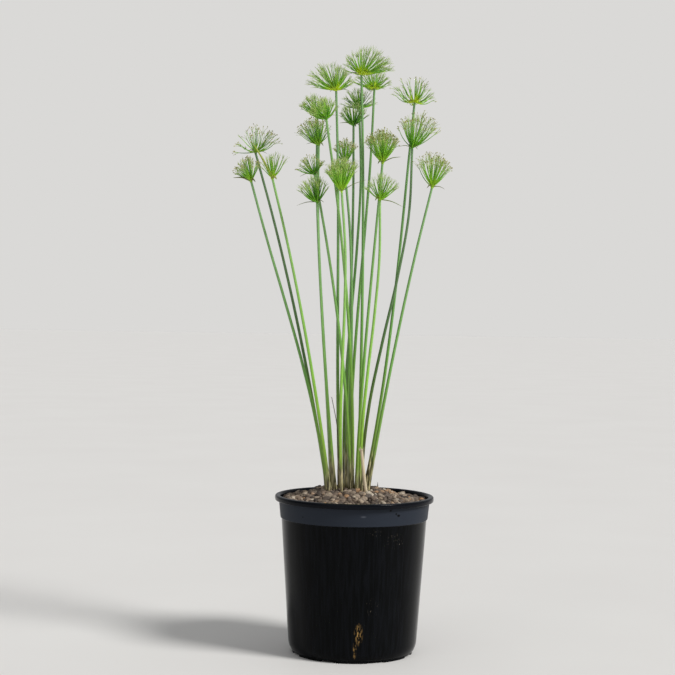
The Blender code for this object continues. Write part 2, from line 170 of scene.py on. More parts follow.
bpy.ops.mesh.primitive_plane_add(size=FLOOR_SIDE)
floor = bpy.context.object
floor.name = "studio_floor"
floor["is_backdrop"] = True

floor_finish, tree, shader = finish_of("matt_studio_paint", 0.62)
place = add(tree, "ShaderNodeTexCoord").outputs["Object"]
cloud = add(tree, "ShaderNodeTexNoise", {"Vector": place, "Scale": FLOOR_CLOUDS, "Detail": 4.0})
tint = add(tree, "ShaderNodeMix", {0: cloud, 6: linear("DFDCD8"), 7: linear("E5E3DF")},
           data_type="RGBA")
tree.links.new(tint.outputs[2], shader.inputs["Base Color"])
floor.data.materials.append(floor_finish)

world = bpy.data.worlds.new("soft room")
world.use_nodes = True
bpy.context.scene.world = world
tree = world.node_tree
surroundings = tree.nodes["Background"]
surroundings.inputs["Color"].default_value = linear("F5F7FA")
direction = add(tree, "ShaderNodeSeparateXYZ",
                {0: add(tree, "ShaderNodeTexCoord").outputs["Generated"]})
depth = add(tree, "ShaderNodeMapRange", {0: direction.outputs["Y"], 1: -0.15, 2: 0.5,
                                         3: ROOM_FRONT, 4: ROOM_BACK},
            interpolation_type="SMOOTHSTEP")
upward = add(tree, "ShaderNodeMapRange", {0: direction.outputs["Z"], 1: 0.2, 2: 0.9, 3: 0.0, 4: 1.0},
             interpolation_type="SMOOTHSTEP")
glow = add(tree, "ShaderNodeMix", {0: upward, 2: depth, 3: ROOM_TOP})
tree.links.new(glow.outputs[0], surroundings.inputs["Strength"])
backdrop = add(tree, "ShaderNodeBackground", {"Color": linear(BACKDROP)})
seen = add(tree, "ShaderNodeLightPath").outputs["Is Camera Ray"]
either = add(tree, "ShaderNodeMixShader", {0: seen, 1: surroundings, 2: backdrop})
tree.links.new(either.outputs[0], tree.nodes["World Output"].inputs["Surface"])


def soft_sun(name, toward, strength, softness):
    """Even light from one direction; a wide angle blurs its shadows like a large diffuser."""
    data = bpy.data.lights.new(name, "SUN")
    data.energy = strength
    data.angle = math.radians(softness)
    in_scene(name, data).rotation_euler = Vector(toward).to_track_quat("Z", "Y").to_euler()


soft_sun("key light", (0.95, -0.55, 0.95), 2.9, 18)
soft_sun("fill light", (-0.4, -0.9, 0.6), 0.4, 60)

scene = bpy.context.scene
scene.view_settings.view_transform = "Standard"

# %% [markdown]
# ## Reading the stems from the solids
#
# Each packed stem is a bar of six-sided rings. The middle of every ring is a point on the stem,
# and the rings' size is its thickness. A smooth curve through those few points gives the bend of
# the living stem back. Blender could also be asked for a curve by hand, but then the stem could
# miss its solid.

# %% Stem paths
RING_SIDES = 6


def own_points(node):
    """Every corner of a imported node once."""
    corners = np.array([vertex.co for vertex in nodes[node].data.vertices])
    return np.unique(np.round(corners, 6), axis=0)


def bar_path(node):
    """Middle and radius of each ring of a bar, from its lowest ring to its highest."""
    corners = own_points(node)
    rings = corners[np.argsort(corners[:, 2])].reshape(-1, RING_SIDES, 3)
    middles = rings.mean(axis=1)
    radii = np.linalg.norm(rings - middles[:, None], axis=2).mean(axis=1)
    return middles, radii


def smooth_line(points, count):
    """Curve through all the points, read at evenly spaced lengths (cubic Hermite)."""
    knots = np.r_[0, np.cumsum(np.linalg.norm(np.diff(points, axis=0), axis=1))]
    slopes = np.gradient(points, knots, axis=0)
    reach = np.linspace(0, knots[-1], count)
    index = np.clip(np.searchsorted(knots, reach) - 1, 0, len(knots) - 2)
    span = (knots[index + 1] - knots[index])[:, None]
    t = (reach - knots[index])[:, None] / span
    return (points[index] * (2 * t ** 3 - 3 * t ** 2 + 1) + points[index + 1] * (3 * t ** 2 - 2 * t ** 3)
            + span * (slopes[index] * (t ** 3 - 2 * t ** 2 + t) + slopes[index + 1] * (t ** 3 - t ** 2)))


stems = {name[-2:]: bar_path(name) for name in culm_names}
longest = max(np.linalg.norm(path[-1] - path[0]) for path, _ in stems.values())
print("longest stem", round(longest / MM), "mm")

# %% [markdown]
# ## A tree that sweeps a section along guide lines
#
# Stems, rays and bracts are all one section drawn along a line. The tree below takes a mesh of
# plain edges, turns each chain of edges into a curve and sweeps a small outline along it. A point
# attribute called width gives the radius at each point. Corners pinches the outline into the
# three blunt edges that a sedge stem has, and Flatness presses it into a blade. Level keeps a
# blade flat to the ground. A stem does without it, because its outline would flip over and pinch
# the stem wherever it stands exactly upright.

# %% Sweep tree


def open_tree(name, sockets):
    """Geometry tree with a mesh in and out and the named inputs; returns its two ends."""
    tree = bpy.data.node_groups.new(name, "GeometryNodeTree")
    tree.interface.new_socket("Geometry", in_out="INPUT", socket_type="NodeSocketGeometry")
    for label, kind, value in sockets:
        socket = tree.interface.new_socket(label, in_out="INPUT", socket_type=kind)
        if value is not None:
            socket.default_value = value
    tree.interface.new_socket("Geometry", in_out="OUTPUT", socket_type="NodeSocketGeometry")
    return tree, add(tree, "NodeGroupInput").outputs


def close_tree(tree, geometry, finish):
    """Realize the instances, set the material and lead the mesh out of the tree."""
    real = add(tree, "GeometryNodeRealizeInstances", {0: geometry})
    dressed = add(tree, "GeometryNodeSetMaterial", {0: real, "Material": finish})
    add(tree, "NodeGroupOutput", {0: dressed})


sweep_tree, given = open_tree("sweep along guides", [
    ("Sides", "NodeSocketInt", 8),
    ("Corners", "NodeSocketFloat", 0.0),
    ("Flatness", "NodeSocketFloat", 1.0),
    ("Level", "NodeSocketBool", False),
    ("Finish", "NodeSocketMaterial", None),
])
lines = add(sweep_tree, "GeometryNodeMeshToCurve", {0: given["Geometry"]})
level = add(sweep_tree, "GeometryNodeSetCurveNormal", {0: lines}, mode="Z_UP")
steady = add(sweep_tree, "GeometryNodeSwitch",
             {"Switch": given["Level"], "False": lines, "True": level},
             input_type="GEOMETRY")
width = add(sweep_tree, "GeometryNodeInputNamedAttribute", {"Name": "width"}, data_type="FLOAT")
thick = add(sweep_tree, "GeometryNodeSetCurveRadius", {0: steady, "Radius": width})
ring = add(sweep_tree, "GeometryNodeCurvePrimitiveCircle",
           {"Resolution": given["Sides"], "Radius": 1.0})
spot = add(sweep_tree, "ShaderNodeSeparateXYZ", {0: add(sweep_tree, "GeometryNodeInputPosition")})
turn = add(sweep_tree, "ShaderNodeMath", {0: spot.outputs["Y"], 1: spot.outputs["X"]},
           operation="ARCTAN2")
triple = add(sweep_tree, "ShaderNodeMath", {0: turn, 1: 3.0}, operation="MULTIPLY")
wave = add(sweep_tree, "ShaderNodeMath", {0: triple}, operation="COSINE")
bulge = add(sweep_tree, "ShaderNodeMath", {0: wave, 1: given["Corners"], 2: 1.0},
            operation="MULTIPLY_ADD")
across = add(sweep_tree, "ShaderNodeMath", {0: spot.outputs["X"], 1: bulge}, operation="MULTIPLY")
up = add(sweep_tree, "ShaderNodeMath", {0: spot.outputs["Y"], 1: bulge}, operation="MULTIPLY")
pressed = add(sweep_tree, "ShaderNodeMath", {0: up, 1: given["Flatness"]}, operation="MULTIPLY")
outline = add(sweep_tree, "ShaderNodeCombineXYZ", {0: across, 1: pressed})
section = add(sweep_tree, "GeometryNodeSetPosition", {0: ring, "Position": outline})
skin = add(sweep_tree, "GeometryNodeCurveToMesh",
           {"Curve": thick, "Profile Curve": section, "Fill Caps": True,
            "Scale": add(sweep_tree, "GeometryNodeInputRadius")})
smooth_skin = add(sweep_tree, "GeometryNodeSetShadeSmooth", {0: skin})
close_tree(sweep_tree, smooth_skin, given["Finish"])
print("sweep tree:", len(sweep_tree.nodes), "nodes")

# %% [markdown]
# ## From a tree to a plain mesh
#
# The export keeps meshes only, so the result of each tree is copied to a new object and the
# guide lines are thrown away. The helper below also turns the faces outwards if the sweep came
# out inside out, which the sign of the enclosed volume shows.

# %% Guides and finished pieces


def guide_object(name, chains, edges_between=True, **values):
    """Mesh of bare lines (or bare points) that carries one number per point for each value."""
    points = np.concatenate(chains)
    edges = []
    start = 0
    for chain in chains:
        if edges_between:
            edges += [(start + step, start + step + 1) for step in range(len(chain) - 1)]
        start += len(chain)
    mesh = bpy.data.meshes.new(name)
    mesh.from_pydata(points.tolist(), edges, [])
    for label, numbers in values.items():
        numbers = np.concatenate(numbers).astype(np.float32)
        kind, field = ("FLOAT_VECTOR", "vector") if numbers.ndim == 2 else ("FLOAT", "value")
        mesh.attributes.new(label, kind, "POINT").data.foreach_set(field, numbers.ravel())
    return in_scene(name, mesh)


def enclosed(mesh):
    """Volume inside the faces; it is negative where they point inwards."""
    shape = bmesh.new()
    shape.from_mesh(mesh)
    volume = shape.calc_volume(signed=True)
    shape.free()
    return volume


def grown_mesh(source, tree, **inputs):
    """Run a tree on an object and return the result as a mesh facing out; the object is removed."""
    modifier = source.modifiers.new(tree.name, "NODES")
    modifier.node_group = tree
    keys = {item.name: item.identifier for item in tree.interface.items_tree}
    for label, value in inputs.items():
        modifier[keys[label.replace("_", " ")]] = value
    bpy.context.view_layer.update()
    ready = source.evaluated_get(bpy.context.evaluated_depsgraph_get())
    mesh = bpy.data.meshes.new_from_object(ready)
    bpy.data.objects.remove(source, do_unlink=True)
    if enclosed(mesh) < 0:
        mesh.flip_normals()
    return mesh


def joined_mesh(name, meshes):
    """One mesh from several, with each one's materials and attributes kept."""
    objects = [in_scene(name, mesh) for mesh in meshes]
    with bpy.context.temp_override(active_object=objects[0], selected_editable_objects=objects):
        bpy.ops.object.join()
    mesh = objects[0].data
    bpy.data.objects.remove(objects[0], do_unlink=True)
    return mesh


def place_piece(name, mesh, slot, *replaced):
    """Finished piece: it rides on the one body and stands for its solids; slot is not used."""
    mesh.name = name
    piece = in_scene(name, mesh)
    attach(piece, "root")
    if replaced:
        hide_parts(*replaced)


def triangles(mesh):
    return sum(len(face.vertices) - 2 for face in mesh.polygons)


# %% [markdown]
# ## Pot: the shape
#
# The pot is one injection moulding of black polypropylene. It is a turned shape, so half of its
# outline is drawn once, with an arc at every edge that the mould rounds, and a Screw modifier
# turns it. The drain holes and the notches in the foot are cut out afterwards by a Boolean.

# %% Pot outline
pot_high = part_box("pot")[1]
RIM = pot_high.x
TOP = pot_high.z
LIP_DEPTH = 6.8 * MM
COLLAR_FOOT = TOP - LIP_DEPTH - 21.5 * MM
COLLAR_RADII = (94.6 * MM, 92.6 * MM)
BODY_RADII = (91.3 * MM, 80.6 * MM)
CORNER_HEIGHT = 11 * MM
FOOT_RADIUS, FOOT_HEIGHT = 76 * MM, 3.4 * MM
WALL, BASE = 1.8 * MM, 4.6 * MM
CHANNEL = (57 * MM, 70 * MM, 2.6 * MM)
TURN_STEPS = 160
ARC_STEPS = 5
ARC_SHARE = 0.48


def rounded(corners):
    """Outline with an arc at each corner (radius, height, rounding), cut short on short edges."""
    points = []
    for index, (r, z, rounding) in enumerate(corners):
        here = Vector((r, z))
        if rounding == 0:
            points.append(here)
            continue
        before = Vector(corners[index - 1][:2]) - here
        after = Vector(corners[index + 1][:2]) - here
        start = here + before.normalized() * min(rounding, ARC_SHARE * before.length)
        end = here + after.normalized() * min(rounding, ARC_SHARE * after.length)
        for step in range(ARC_STEPS + 1):
            t = step / ARC_STEPS
            points.append(start * (1 - t) ** 2 + here * 2 * t * (1 - t) + end * t ** 2)
    return points


inside = [
    (0.0, BASE, 0),
    (FOOT_RADIUS - 2 * WALL, BASE, 1.5 * MM),
    (BODY_RADII[1] - WALL, CORNER_HEIGHT, 3 * MM),
    (BODY_RADII[0] - WALL, COLLAR_FOOT - 1 * MM, 1 * MM),
    (COLLAR_RADII[1] - WALL, COLLAR_FOOT + 1.5 * MM, 1 * MM),
    (COLLAR_RADII[0] - WALL, TOP - 1.6 * MM, 2 * MM),
]
outside = [
    (RIM - 4.9 * MM, TOP, 0.9 * MM),
    (RIM - 0.4 * MM, TOP - 0.3 * MM, 2.4 * MM),
    (RIM, TOP - 0.5 * LIP_DEPTH, 0.8 * MM),
    (RIM - 0.5 * MM, TOP - LIP_DEPTH, 1.3 * MM),
    (COLLAR_RADII[0] + 0.3 * MM, TOP - LIP_DEPTH, 0.5 * MM),
    (COLLAR_RADII[1], COLLAR_FOOT, 0.7 * MM),
    (BODY_RADII[0], COLLAR_FOOT - 0.8 * MM, 0.4 * MM),
    (BODY_RADII[1], CORNER_HEIGHT, 6 * MM),
    (FOOT_RADIUS + 1.5 * MM, FOOT_HEIGHT + 0.6 * MM, 1.5 * MM),
    (FOOT_RADIUS, FOOT_HEIGHT, 0.5 * MM),
    (FOOT_RADIUS, 0.0, 0.5 * MM),
    (CHANNEL[1], 0.0, 0.4 * MM),
    (CHANNEL[1], CHANNEL[2], 0.4 * MM),
    (CHANNEL[0], CHANNEL[2], 0.4 * MM),
    (CHANNEL[0], 0.0, 0.4 * MM),
    (0.0, 0.0, 0),
]
pot_outline = rounded(inside + outside)
print("pot outline:", len(pot_outline), "points, rim", round(2 * RIM / MM), "mm across")

# %% Pot turned and drilled
DRAIN_COUNT = 8
HOLE_RADIUS = 4 * MM
NOTCH = (8.5 * MM, 22 * MM, 4.6 * MM)


def turned_object(name, outline, steps):
    """Outline turned round the upright axis by a Screw modifier."""
    mesh = bpy.data.meshes.new(name)
    shape = bmesh.new()
    corners = [shape.verts.new((point.x, 0.0, point.y)) for point in outline]
    for first, second in zip(corners, corners[1:]):
        shape.edges.new((first, second))
    shape.to_mesh(mesh)
    shape.free()
    obj = in_scene(name, mesh)
    screw = obj.modifiers.new("turn", "SCREW")
    screw.steps = screw.render_steps = steps
    screw.use_merge_vertices = True
    screw.merge_threshold = WELD
    screw.use_smooth_shade = True
    return obj


def drain_cutter():
    """All the round holes and the foot's notches as one cutter."""
    mesh = bpy.data.meshes.new("drain cutter")
    shape = bmesh.new()
    for index in range(DRAIN_COUNT):
        spin = Matrix.Rotation(math.tau * (index + 0.5) / DRAIN_COUNT, 4, "Z")
        hole = spin @ Matrix.Translation((0.5 * (CHANNEL[0] + CHANNEL[1]), 0, 0))
        notch = spin @ Matrix.Translation((0.5 * (FOOT_RADIUS + CHANNEL[1]) + 0.5 * MM, 0, 0))
        notch = notch @ Matrix.Diagonal((*NOTCH, 1.0))
        bmesh.ops.create_cone(shape, cap_ends=True, segments=24, radius1=HOLE_RADIUS,
                              radius2=HOLE_RADIUS, depth=4 * BASE, matrix=hole)
        bmesh.ops.create_cube(shape, size=1.0, matrix=notch)
    shape.to_mesh(mesh)
    shape.free()
    return in_scene("drain cutter", mesh)


pot_blank = turned_object("pot blank", pot_outline, TURN_STEPS)
cutter = drain_cutter()
drill = pot_blank.modifiers.new("drain", "BOOLEAN")
drill.operation = "DIFFERENCE"
drill.solver = "EXACT"
drill.use_self = True
drill.object = cutter
bpy.context.view_layer.update()
pot_mesh = bpy.data.meshes.new_from_object(
    pot_blank.evaluated_get(bpy.context.evaluated_depsgraph_get()))
bpy.data.objects.remove(pot_blank, do_unlink=True)
bpy.data.objects.remove(cutter, do_unlink=True)
pot_mesh.materials.clear()
pot_mesh.set_sharp_from_angle(angle=math.radians(38))
print("pot:", triangles(pot_mesh), "triangles, plastic volume", round(enclosed(pot_mesh) * 1e6), "cm3")

# %% [markdown]
# ## Pot: the plastic
#
# Black polypropylene comes out of a polished mould glossy, and here only the collar is grained
# and so looks like matt slate. The shine is what the eye reads, so roughness does most of the
# work: low on the body with faint upright flow lines, high on the collar. A short pale mark on the
# collar is where the mould was filled. Use has left dust under the collar, a scuff of dried soil
# low on the front and a few dark splashes.

# %% Moulded black polypropylene
FLOW_LINE = 3.0 * MM
FLOW_LENGTH = 90 * MM
DUST_GRAIN = 1.4 * MM
SOIL_GRAIN = 2.2 * MM
GRAIN = 0.5 * MM

# Marks in mm: the middle of each and its half sizes
SCUFFS = (((7.5, -82, 37), (6, 9, 15)), ((3, -81, 17), (2.6, 9, 12)))
DUST = (((27, -87, 161), (10, 30, 5)), ((24, -81, 70), (9, 30, 12)), ((50, -72, 150), (14, 30, 10)))
DIRT_DROPS = (((44.2, -83.4, 188.2), (1.5, 4, 1.3)), ((54, -76.6, 181.5), (2.2, 4, 1.7)),
              ((51, -78.5, 183.6), (1.1, 4, 1.6)), ((-62, -68, 177), (1.2, 4, 1.0)))
GATE = (((11.5, -93.1, 181.2), (4.4, 4, 1.5)),)

pot_finish, tree, shader = finish_of("moulded_black_polypropylene", 0.2, ior=1.49,
                                     Specular_IOR_Level=0.07)
place = add(tree, "ShaderNodeTexCoord").outputs["Object"]
height = add(tree, "ShaderNodeSeparateXYZ", {0: place}).outputs["Z"]
collar = add(tree, "ShaderNodeMapRange",
             {0: height, 1: COLLAR_FOOT - 0.4 * MM, 2: COLLAR_FOOT + 0.4 * MM})
lip = add(tree, "ShaderNodeMapRange",
          {0: height, 1: TOP - LIP_DEPTH - 0.3 * MM, 2: TOP - LIP_DEPTH + 0.3 * MM})


def spot_mask(spots, edge=0.2, strength=1.0):
    """Full strength in the middle of each ellipsoid (centre, half sizes in mm), nothing outside."""
    total = None
    for centre, size in spots:
        away = add(tree, "ShaderNodeVectorMath", {0: place, 1: Vector(centre) * MM},
                   operation="SUBTRACT")
        scaled = add(tree, "ShaderNodeVectorMath", {0: away, 1: Vector(size) * MM},
                     operation="DIVIDE")
        reach = add(tree, "ShaderNodeVectorMath", {0: scaled}, operation="LENGTH")
        spot = add(tree, "ShaderNodeMapRange",
                   {0: reach.outputs["Value"], 1: 1.0, 2: edge, 4: strength})
        total = spot if total is None else add(tree, "ShaderNodeMath", {0: total, 1: spot},
                                               operation="MAXIMUM")
    return total


def speckle(size, stretch, low, high):
    """Noise of a real grain size, cut to the blotches between two levels."""
    stretched = add(tree, "ShaderNodeMapping", {0: place, 3: (1, 1, stretch)})
    noise = add(tree, "ShaderNodeTexNoise", {"Vector": stretched, "Scale": 1 / size,
                                             "Detail": 4.0, "Roughness": 0.6})
    return add(tree, "ShaderNodeMapRange", {0: noise, 1: low, 2: high})


flow = speckle(FLOW_LINE, FLOW_LINE / FLOW_LENGTH, 0.42, 0.64)
dust = speckle(DUST_GRAIN, 0.6, 0.64, 0.67)
dried_soil = speckle(SOIL_GRAIN, 0.3, 0.47, 0.55)
fine = add(tree, "ShaderNodeTexNoise", {"Vector": place, "Scale": 1 / GRAIN, "Detail": 2.0})
dusty, soiled, grained = (
    add(tree, "ShaderNodeMath", {0: where, 1: pattern}, operation="MULTIPLY")
    for where, pattern in ((spot_mask(DUST, strength=0.8), dust), (spot_mask(SCUFFS), dried_soil),
                           (collar, fine)))
colour = linear("020304")
for share, code in ((flow, "0A0C10"), (collar, "2B3039"), (lip, "101217"),
                    (spot_mask(GATE, strength=0.8), "565A62"), (dusty, "8C8172"),
                    (spot_mask(DIRT_DROPS, edge=0.7), "060607"), (soiled, "9A7A48")):
    colour = add(tree, "ShaderNodeMix", {0: share, 6: colour, 7: linear(code)},
                 data_type="RGBA").outputs[2]
tree.links.new(colour, shader.inputs["Base Color"])
gloss = add(tree, "ShaderNodeMapRange", {0: flow, 3: 0.1, 4: 0.26})
for share, roughness in ((collar, 0.46), (lip, 0.2), (soiled, 0.9)):
    gloss = add(tree, "ShaderNodeMix", {0: share, 2: gloss, 3: roughness})
tree.links.new(gloss.outputs[0], shader.inputs["Roughness"])
relief = add(tree, "ShaderNodeBump", {"Strength": 0.12, "Distance": 0.05 * MM, "Height": grained})
tree.links.new(relief.outputs[0], shader.inputs["Normal"])

pot_mesh.materials.append(pot_finish)
place_piece("moulded_pot", pot_mesh, "pot", "pot")
print("marks on the pot:", len(SCUFFS) + len(DUST) + len(DIRT_DROPS) + len(GATE))

# %% [markdown]
# ## Gravel
#
# The soil is covered with crushed stone of about four to twelve millimetres in browns, greys and a
# few oranges and whites. Each stone is the convex hull of a shaken ball, softened once, which gives
# the blunt facets of a tumbled chip. Geometry Nodes scatter six kinds of stone a set distance apart
# over a smooth copy of the packed gravel's top, and turn and stretch every one. A large stone lies
# on each lump of the solid.

# %% Scatter surface over the packed gravel
BED_RINGS, BED_STEPS = 36, 96
BED_RADIUS = 86 * MM
BIG_STONE_REACH = 78 * MM
STEM_ROOM = 3.4 * MM
SMOOTHINGS = 6
PIT_DEPTH = 19 * MM
COMMON_HEIGHT = 200 * MM


def height_map(node):
    """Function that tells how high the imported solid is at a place, or None in a pit or outside."""
    shape = bmesh.new()
    shape.from_mesh(nodes[node].data)
    surface = BVHTree.FromBMesh(shape)
    shape.free()
    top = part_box(node)[1].z

    def height(x, y):
        hit = surface.ray_cast(Vector((x, y, top + 10 * MM)), Vector((0, 0, -1)))[0]
        return hit.z if hit and hit.z > top - PIT_DEPTH else None

    return height


def lumps(node):
    """Corners of the packed gravel that stand higher than all that share an edge with them."""
    shape = bmesh.new()
    shape.from_mesh(nodes[node].data)
    bmesh.ops.remove_doubles(shape, verts=shape.verts, dist=WELD)
    found = [vertex.co.copy() for vertex in shape.verts
             if all(vertex.co.z > edge.other_vert(vertex).co.z for edge in vertex.link_edges)]
    shape.free()
    return found


def stem_gap(x, y):
    """Distance to the foot of the nearest stem."""
    feet = np.array([path[0][:2] for path, _ in stems.values()] + [bar_path("dry_stub")[0][0][:2]])
    return np.linalg.norm(feet - (x, y), axis=1).min()


def gravel_bed():
    """Fine disc at the gravel's mean height, marked where stones may lie."""
    height = height_map("gravel")
    disc = bmesh.new()
    bmesh.ops.create_circle(disc, cap_ends=True, radius=BED_RADIUS, segments=BED_STEPS)
    bmesh.ops.poke(disc, faces=disc.faces)
    spokes = [edge for edge in disc.edges if not edge.is_boundary]
    bmesh.ops.subdivide_edges(disc, edges=spokes, cuts=BED_RINGS, use_grid_fill=True)
    for vertex in disc.verts:
        vertex.co.z = height(*vertex.co.xy) or COMMON_HEIGHT
    for _ in range(SMOOTHINGS):
        bmesh.ops.smooth_vert(disc, verts=disc.verts, factor=0.5, use_axis_z=True)
    clear = [1.0 if stem_gap(*vertex.co.xy) > STEM_ROOM else 0.0 for vertex in disc.verts]
    mesh = bpy.data.meshes.new("gravel bed")
    disc.to_mesh(mesh)
    disc.free()
    mesh.attributes.new("open", "FLOAT", "POINT").data.foreach_set("value", clear)
    return in_scene("gravel bed", mesh)


bed = gravel_bed()
big_stones = [place for place in lumps("gravel")
              if stem_gap(*place.xy) > 2 * STEM_ROOM and place.xy.length < BIG_STONE_REACH]
print("scatter surface:", len(bed.data.vertices), "points, large stones:", len(big_stones))

# %% Pebble tree
PEBBLE_KINDS = 6
KNOCK = 0.45
TRIES_PER_M2 = 140000.0


def pebble_kinds(tree):
    """Convex hulls of shaken balls, one instance each, softened to the edges of a tumbled chip."""
    kinds = add(tree, "GeometryNodeJoinGeometry")
    for kind in range(PEBBLE_KINDS):
        ball = add(tree, "GeometryNodeMeshIcoSphere", {"Radius": 1.0, "Subdivisions": 2})
        knocks = add(tree, "FunctionNodeRandomValue",
                     {0: (-KNOCK, -KNOCK, -KNOCK), 1: (KNOCK, KNOCK, KNOCK), "Seed": 11 + kind},
                     data_type="FLOAT_VECTOR")
        rough = add(tree, "GeometryNodeSetPosition", {0: ball, "Offset": knocks})
        hull = add(tree, "GeometryNodeConvexHull", {0: rough})
        soft = add(tree, "GeometryNodeSubdivisionSurface", {0: hull, "Level": 1})
        round_off = add(tree, "GeometryNodeSetShadeSmooth", {0: soft})
        single = add(tree, "GeometryNodeGeometryToInstance", {0: round_off})
        tree.links.new(single.outputs[0], kinds.inputs[0])
    return kinds


pebble_tree, given = open_tree("pebble layer", [
    ("Spacing", "NodeSocketFloat", 5.3 * MM),
    ("Smallest", "NodeSocketFloat", 2.0 * MM),
    ("Largest", "NodeSocketFloat", 5.0 * MM),
    ("Scatter", "NodeSocketBool", True),
    ("Seed", "NodeSocketInt", 7),
    ("Finish", "NodeSocketMaterial", None),
])
open_ground = add(pebble_tree, "GeometryNodeInputNamedAttribute", {"Name": "open"},
                  data_type="FLOAT")
strewn = add(pebble_tree, "GeometryNodeDistributePointsOnFaces",
             {0: given["Geometry"], "Distance Min": given["Spacing"], "Density Max": TRIES_PER_M2,
              "Density Factor": open_ground, "Seed": given["Seed"]},
             distribute_method="POISSON")
placed = add(pebble_tree, "GeometryNodeMeshToPoints", {0: given["Geometry"]})
either = add(pebble_tree, "GeometryNodeSwitch",
             {"Switch": given["Scatter"], "False": placed, "True": strewn},
             input_type="GEOMETRY")
tone = add(pebble_tree, "FunctionNodeRandomValue", {"Seed": 21}, data_type="FLOAT")
toned = add(pebble_tree, "GeometryNodeStoreNamedAttribute",
            {0: either, "Name": "tone", "Value": tone.outputs[1]},
            data_type="FLOAT", domain="POINT")
tumble = add(pebble_tree, "FunctionNodeRandomValue",
             {0: (-0.5, -0.5, 0.0), 1: (0.5, 0.5, math.tau), "Seed": 3}, data_type="FLOAT_VECTOR")
pick = add(pebble_tree, "FunctionNodeRandomValue", {4: 0, 5: PEBBLE_KINDS - 1, "Seed": 5},
           data_type="INT")
radius = add(pebble_tree, "FunctionNodeRandomValue",
             {2: given["Smallest"], 3: given["Largest"], "Seed": 8}, data_type="FLOAT")
shape = add(pebble_tree, "FunctionNodeRandomValue",
            {0: (0.8, 0.7, 0.6), 1: (1.2, 1.0, 0.9), "Seed": 9}, data_type="FLOAT_VECTOR")
stretch = add(pebble_tree, "ShaderNodeVectorMath", {0: shape, "Scale": radius.outputs[1]},
              operation="SCALE")
stones = add(pebble_tree, "GeometryNodeInstanceOnPoints",
             {"Points": toned, "Instance": pebble_kinds(pebble_tree), "Pick Instance": True,
              "Instance Index": pick.outputs[2], "Rotation": tumble, "Scale": stretch})
close_tree(pebble_tree, stones, given["Finish"])
print("pebble tree:", len(pebble_tree.nodes), "nodes")

# %% [markdown]
# Stone is matt and each chip has one colour of its own with mineral specks in it. The random
# number that the tree stores on every stone chooses its place on a scale of browns and greys.

# %% Crushed stone
MINERAL_SPECK = 1.1 * MM

stone_finish, tree, shader = finish_of("tumbled_crushed_stone", 0.78)
place = add(tree, "ShaderNodeTexCoord").outputs["Object"]
own = add(tree, "ShaderNodeAttribute", attribute_name="tone").outputs["Fac"]
scale = add(tree, "ShaderNodeValToRGB", {0: own})
STONE_SCALE = [(0.0, "382F29"), (0.16, "5A4D42"), (0.3, "756353"), (0.44, "61574F"),
               (0.56, "806D5B"), (0.68, "918272"), (0.82, "9C8A75"), (0.9, "A67E58"),
               (0.95, "AFA08D"), (1.0, "C2B5A2")]
stops = scale.color_ramp.elements
for where, _ in STONE_SCALE[1:-1]:
    stops.new(where)
for stop, (where, code) in zip(sorted(stops, key=lambda item: item.position), STONE_SCALE):
    stop.position = where
    stop.color = linear(code)
specks = add(tree, "ShaderNodeTexNoise",
             {"Vector": place, "Scale": 1 / MINERAL_SPECK, "Detail": 5.0})
dark = add(tree, "ShaderNodeMapRange", {0: specks, 1: 0.35, 2: 0.65, 3: 0.5, 4: 1.25})
mottled = add(tree, "ShaderNodeVectorMath", {0: scale, "Scale": dark},
              operation="SCALE")
tree.links.new(mottled.outputs[0], shader.inputs["Base Color"])
relief = add(tree, "ShaderNodeBump", {"Strength": 0.8, "Distance": 0.5 * MM, "Height": specks})
tree.links.new(relief.outputs[0], shader.inputs["Normal"])

BIG_SINK = 3.2 * MM
BIG_STONE_SIZES = (4.4 * MM, 6.0 * MM)

middles = np.array(big_stones) - (0, 0, BIG_SINK)
large = guide_object("large stones", [middles], edges_between=False)
stones_mesh = joined_mesh("stones", [
    grown_mesh(bed, pebble_tree, Finish=stone_finish),
    grown_mesh(large, pebble_tree, Smallest=BIG_STONE_SIZES[0], Largest=BIG_STONE_SIZES[1],
               Scatter=False, Seed=2, Finish=stone_finish),
])
place_piece("gravel_stones", stones_mesh, "gravel")
print("stones:", triangles(stones_mesh), "triangles")

# %% [markdown]
# Fines fill the gaps between the stones, and potting mix lies under them and shows only through
# the drain holes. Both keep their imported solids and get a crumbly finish: one broken noise mixes
# two colours and makes a deep bump. The same function makes fibrous finishes when its noise is
# stretched along the piece.

# %% Fines and potting mix
CRUMB = 1.8 * MM


def two_toned(name, dark, light, roughness, size, detail, stretch, strength, depth):
    """Matt finish whose two colours and relief follow one noise; the depth is in grains."""
    made, tree, shader = finish_of(name, roughness)
    place = add(tree, "ShaderNodeTexCoord").outputs["Object"]
    drawn = add(tree, "ShaderNodeMapping", {0: place, 3: (1, 1, stretch)})
    noise = add(tree, "ShaderNodeTexNoise", {"Vector": drawn, "Scale": 1 / size, "Detail": detail})
    mix = add(tree, "ShaderNodeMix", {0: noise, 6: linear(dark), 7: linear(light)}, data_type="RGBA")
    bump = add(tree, "ShaderNodeBump", {"Strength": strength, "Distance": depth * size, "Height": noise})
    tree.links.new(mix.outputs[2], shader.inputs["Base Color"])
    tree.links.new(bump.outputs[0], shader.inputs["Normal"])
    return made


crumbly = dict(roughness=0.95, detail=6.0, stretch=1.0, strength=0.9, depth=0.6)
fines = two_toned("stone_fines", "1B1613", "5A4A3E", size=CRUMB, **crumbly)
potting_mix = two_toned("bark_potting_mix", "120D0A", "3A2A1E", size=2 * CRUMB, **crumbly)
for node, finish in (("gravel", fines), ("soil", potting_mix)):
    nodes[node].data.materials.clear()
    nodes[node].data.materials.append(finish)
print("packed solids that stay in sight:", ["gravel", "soil"])

